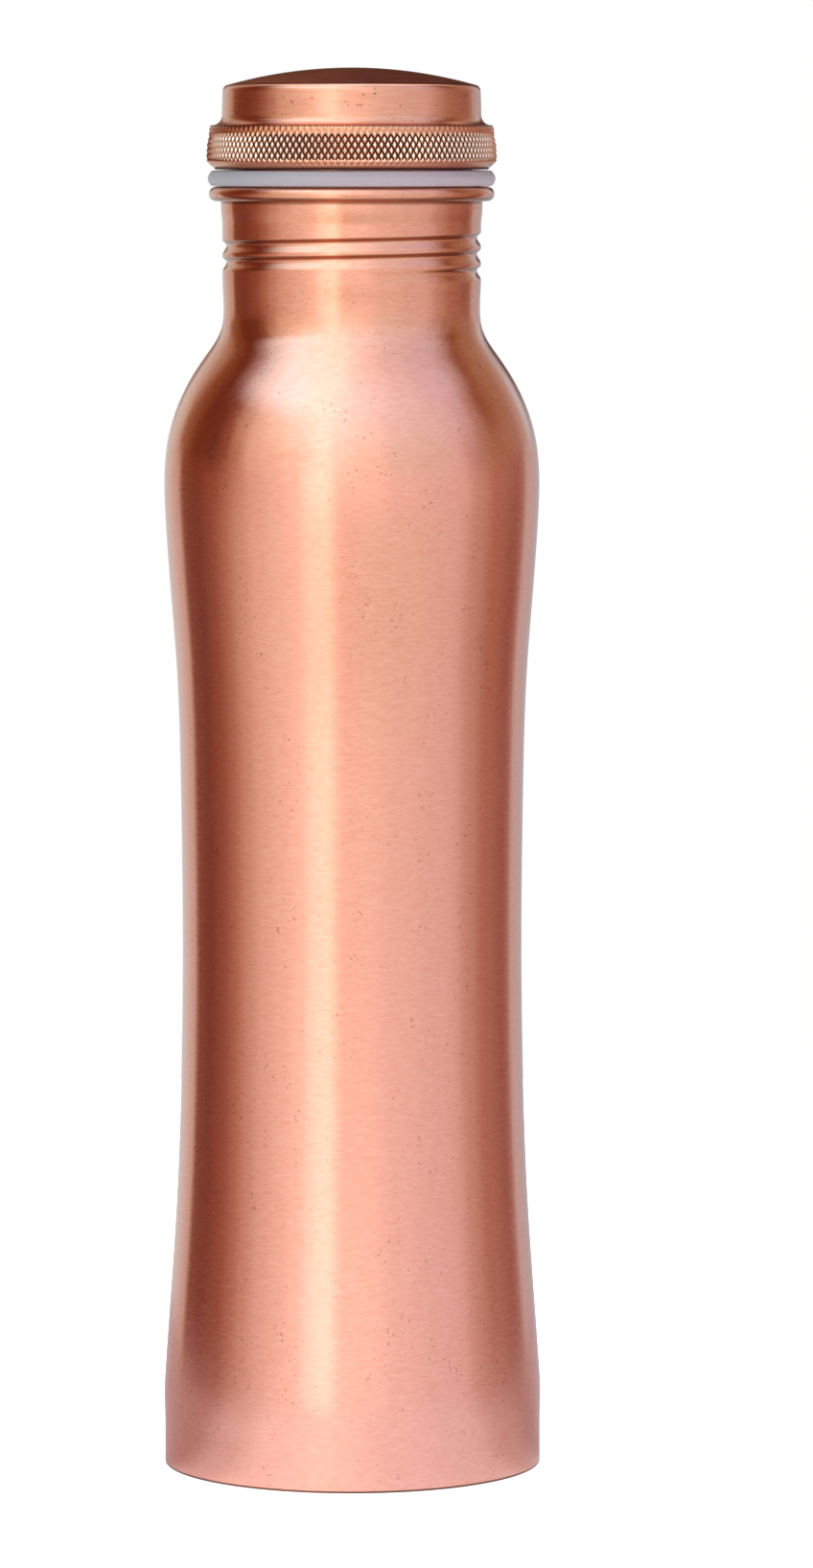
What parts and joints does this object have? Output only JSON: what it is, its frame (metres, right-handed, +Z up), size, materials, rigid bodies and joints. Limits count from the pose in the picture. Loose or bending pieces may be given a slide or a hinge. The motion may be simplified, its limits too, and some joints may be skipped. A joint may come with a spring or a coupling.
{
  "type": "water bottle",
  "caption": "Waisted metal water bottle with a rolled neck thread, a curled rim and a domed screw cap with a knurled grip ring on a sealing gasket.",
  "frame": {"origin": "centre of the foot, on the standing plane", "axes": "+Z up along the bottle's axis, towards the cap; the rolled thread on the neck starts at -Y and is at full depth from +X on"},
  "size_m": [0.0752, 0.0752, 0.2772],
  "materials": {
    "copper_body": "bare copper, brushed round the axis, lacquered",
    "copper_cap": "bare copper, turned and knurled, lacquered",
    "braze": "brazing filler, satin",
    "silicone": "translucent milky silicone, satin"
  },
  "bodies": {
    "bottle": {"body_shell": "copper_body", "base_disc": "copper_body", "base_braze_seam": "braze"},
    "seal": {"gasket": "silicone"},
    "cap": {"grip_ring": "copper_cap", "threaded_plug": "copper_cap", "plug_braze_seam": "braze", "crown": "copper_cap", "crown_braze_seam": "braze"}
  },
  "joints": [
    {"name": "cap_lift", "type": "slide", "parent": "bottle", "child": "seal", "axis": [0, 0, 1], "range_m": [0, 0.01626]},
    {"name": "cap_turn", "type": "hinge", "parent": "seal", "child": "cap", "pos_m": [0, 0, 0.2572], "axis": [0, 0, 1], "range_deg": [0, 1800]}
  ],
  "couplings": [
    {"joint": "cap_lift", "follows": "cap_turn", "m_per_rad": 0.00051725}
  ]
}
